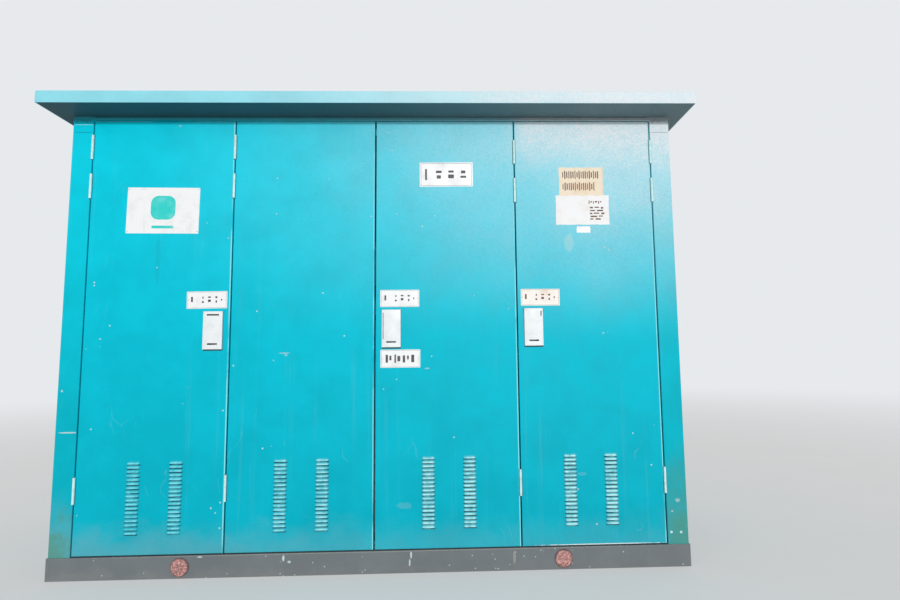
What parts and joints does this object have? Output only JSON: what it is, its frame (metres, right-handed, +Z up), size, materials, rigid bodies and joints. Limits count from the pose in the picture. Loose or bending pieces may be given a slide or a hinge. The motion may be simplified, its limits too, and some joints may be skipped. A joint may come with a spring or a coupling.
{
  "type": "roadside utility cabinet",
  "caption": "Walk-up steel roadside cabinet on a channel base, with hinged louvred doors, covered locks, an overhanging roof and switch units in three bays.",
  "frame": {"origin": "on the ground under the middle of the roof and body", "axes": "+X to the right seen from the doors, +Y to the back, +Z up"},
  "size_m": [3.096, 1.62, 2.301],
  "materials": {
    "door_paint": "sun-faded satin teal enamel",
    "frame_paint": "sun-faded satin teal enamel",
    "roof_paint": "chalky faded teal enamel",
    "inner_paint": "satin teal enamel, less faded",
    "base_paint": "dusty dark grey enamel",
    "floor_steel": "dull galvanised",
    "galvanised_sheet": "spangled galvanised",
    "gasket_rubber": "matt black",
    "hinge_steel": "weathered plated steel",
    "stainless": "brushed",
    "cover_steel": "off-white enamel over steel, lightly weathered",
    "zinc_steel": "zinc plated",
    "pin_paint": "faded dusty red paint with rust",
    "unit_paint": "light grey powder coat",
    "knob_plastic": "moulded black",
    "breaker_plastic": "moulded dark grey",
    "earth_copper": "dull bare copper"
  },
  "bodies": {
    "root": {"base_front_channel": "base_paint", "base_rear_channel": "base_paint", "base_side_channels": "base_paint", "base_cross_channels": "base_paint", "lifting_pin_sleeves": "base_paint", "floor_plates": "floor_steel", "door_sills": "frame_paint", "corner_posts": "frame_paint", "corner_caps": "frame_paint", "top_rails": "frame_paint", "mullion_posts": "inner_paint", "partitions": "galvanised_sheet", "side_walls": "frame_paint", "rear_panels": "frame_paint", "roof_cap": "roof_paint", "roof_soffit": "roof_paint", "door_gaskets": "gasket_rubber", "frame_hinge_leaves": "hinge_steel", "hinge_pins": "hinge_steel", "switch_units": "unit_paint", "unit_fronts": "unit_paint", "low_voltage_board": "unit_paint", "breaker": "breaker_plastic", "control_box": "unit_paint", "earthing_bar": "earth_copper"},
    "door_1": {"door_1_panel": "door_paint", "door_1_stiffeners": "inner_paint", "door_1_hinge_knuckles": "hinge_steel", "door_1_lock_case": "stainless"},
    "door_1_cover": {"door_1_lock_cover": "cover_steel"},
    "door_1_knob": {"door_1_lock_knob": "stainless"},
    "door_1_upper": {"door_1_upper_rod": "zinc_steel"},
    "door_1_lower": {"door_1_lower_rod": "zinc_steel"},
    "door_2": {"door_2_panel": "door_paint", "door_2_stiffeners": "inner_paint", "door_2_hinge_knuckles": "hinge_steel"},
    "door_3": {"door_3_panel": "door_paint", "door_3_stiffeners": "inner_paint", "door_3_hinge_knuckles": "hinge_steel", "door_3_lock_case": "stainless"},
    "door_3_cover": {"door_3_lock_cover": "cover_steel"},
    "door_3_knob": {"door_3_lock_knob": "stainless"},
    "door_3_upper": {"door_3_upper_rod": "zinc_steel"},
    "door_3_lower": {"door_3_lower_rod": "zinc_steel"},
    "door_4": {"door_4_panel": "door_paint", "door_4_stiffeners": "inner_paint", "door_4_hinge_knuckles": "hinge_steel", "door_4_lock_case": "stainless"},
    "door_4_cover": {"door_4_lock_cover": "cover_steel"},
    "door_4_knob": {"door_4_lock_knob": "stainless"},
    "door_4_upper": {"door_4_upper_rod": "zinc_steel"},
    "door_4_lower": {"door_4_lower_rod": "zinc_steel"},
    "lifting_pin_front_left": {"lifting_pin_front_left": "pin_paint"},
    "lifting_pin_front_right": {"lifting_pin_front_right": "pin_paint"},
    "lifting_pin_rear_left": {"lifting_pin_rear_left": "pin_paint"},
    "lifting_pin_rear_right": {"lifting_pin_rear_right": "pin_paint"},
    "switch_knob_1": {"switch_knob_1": "knob_plastic"},
    "switch_knob_2": {"switch_knob_2": "knob_plastic"},
    "switch_knob_3": {"switch_knob_3": "knob_plastic"},
    "breaker_toggle": {"breaker_toggle": "knob_plastic"}
  },
  "joints": [
    {"name": "door_1_swing", "type": "hinge", "parent": "root", "child": "door_1", "pos_m": [-1.374, -0.653, 1.1], "axis": [0, 0, -1], "range_deg": [0, 110]},
    {"name": "door_1_cover_lift", "type": "hinge", "parent": "door_1", "child": "door_1_cover", "pos_m": [-0.765, -0.6569, 1.2135], "axis": [-1, 0, 0], "range_deg": [0, 110]},
    {"name": "door_1_knob_turn", "type": "hinge", "parent": "door_1", "child": "door_1_knob", "pos_m": [-0.765, -0.65, 1.128], "axis": [0, -1, 0], "range_deg": [0, 90]},
    {"name": "door_1_upper_rod_slide", "type": "slide", "parent": "door_1", "child": "door_1_upper", "axis": [0, 0, 1], "range_m": [0, 0.02121]},
    {"name": "door_1_lower_rod_slide", "type": "slide", "parent": "door_1", "child": "door_1_lower", "axis": [0, 0, -1], "range_m": [0, 0.02125]},
    {"name": "door_2_swing", "type": "hinge", "parent": "root", "child": "door_2", "pos_m": [-0.687, -0.653, 1.1], "axis": [0, 0, -1], "range_deg": [0, 110]},
    {"name": "door_3_swing", "type": "hinge", "parent": "root", "child": "door_3", "pos_m": [0.687, -0.653, 1.1], "axis": [0, 0, 1], "range_deg": [0, 110]},
    {"name": "door_3_cover_lift", "type": "hinge", "parent": "door_3", "child": "door_3_cover", "pos_m": [0.079, -0.6569, 1.2135], "axis": [-1, 0, 0], "range_deg": [0, 110]},
    {"name": "door_3_knob_turn", "type": "hinge", "parent": "door_3", "child": "door_3_knob", "pos_m": [0.079, -0.65, 1.128], "axis": [0, -1, 0], "range_deg": [0, 90]},
    {"name": "door_3_upper_rod_slide", "type": "slide", "parent": "door_3", "child": "door_3_upper", "axis": [0, 0, 1], "range_m": [0, 0.02121]},
    {"name": "door_3_lower_rod_slide", "type": "slide", "parent": "door_3", "child": "door_3_lower", "axis": [0, 0, -1], "range_m": [0, 0.02125]},
    {"name": "door_4_swing", "type": "hinge", "parent": "root", "child": "door_4", "pos_m": [1.374, -0.653, 1.1], "axis": [0, 0, 1], "range_deg": [0, 110]},
    {"name": "door_4_cover_lift", "type": "hinge", "parent": "door_4", "child": "door_4_cover", "pos_m": [0.765, -0.6569, 1.2135], "axis": [-1, 0, 0], "range_deg": [0, 110]},
    {"name": "door_4_knob_turn", "type": "hinge", "parent": "door_4", "child": "door_4_knob", "pos_m": [0.765, -0.65, 1.128], "axis": [0, -1, 0], "range_deg": [0, 90]},
    {"name": "door_4_upper_rod_slide", "type": "slide", "parent": "door_4", "child": "door_4_upper", "axis": [0, 0, 1], "range_m": [0, 0.02121]},
    {"name": "door_4_lower_rod_slide", "type": "slide", "parent": "door_4", "child": "door_4_lower", "axis": [0, 0, -1], "range_m": [0, 0.02125]},
    {"name": "lifting_pin_front_left_slide", "type": "slide", "parent": "root", "child": "lifting_pin_front_left", "axis": [0, -1, 0], "range_m": [0, 0.12]},
    {"name": "lifting_pin_front_right_slide", "type": "slide", "parent": "root", "child": "lifting_pin_front_right", "axis": [0, -1, 0], "range_m": [0, 0.12]},
    {"name": "lifting_pin_rear_left_slide", "type": "slide", "parent": "root", "child": "lifting_pin_rear_left", "axis": [0, 1, 0], "range_m": [0, 0.12]},
    {"name": "lifting_pin_rear_right_slide", "type": "slide", "parent": "root", "child": "lifting_pin_rear_right", "axis": [0, 1, 0], "range_m": [0, 0.12]},
    {"name": "switch_knob_1_turn", "type": "hinge", "parent": "root", "child": "switch_knob_1", "pos_m": [-0.4, -0.39, 1.2], "axis": [0, -1, 0], "range_deg": [0, 90]},
    {"name": "switch_knob_2_turn", "type": "hinge", "parent": "root", "child": "switch_knob_2", "pos_m": [0, -0.39, 1.2], "axis": [0, -1, 0], "range_deg": [0, 90]},
    {"name": "switch_knob_3_turn", "type": "hinge", "parent": "root", "child": "switch_knob_3", "pos_m": [0.4, -0.39, 1.2], "axis": [0, -1, 0], "range_deg": [0, 90]},
    {"name": "breaker_toggle_tip", "type": "hinge", "parent": "root", "child": "breaker_toggle", "pos_m": [1.06, 0.249, 1.35], "axis": [1, 0, 0], "range_deg": [0, 50]}
  ],
  "couplings": [
    {"joint": "door_1_knob_turn", "follows": "door_1_upper_rod_slide", "rad_per_m": 74.048},
    {"joint": "door_1_lower_rod_slide", "follows": "door_1_upper_rod_slide", "ratio": 1},
    {"joint": "door_3_knob_turn", "follows": "door_3_upper_rod_slide", "rad_per_m": 74.048},
    {"joint": "door_3_lower_rod_slide", "follows": "door_3_upper_rod_slide", "ratio": 1},
    {"joint": "door_4_knob_turn", "follows": "door_4_upper_rod_slide", "rad_per_m": 74.048},
    {"joint": "door_4_lower_rod_slide", "follows": "door_4_upper_rod_slide", "ratio": 1}
  ]
}
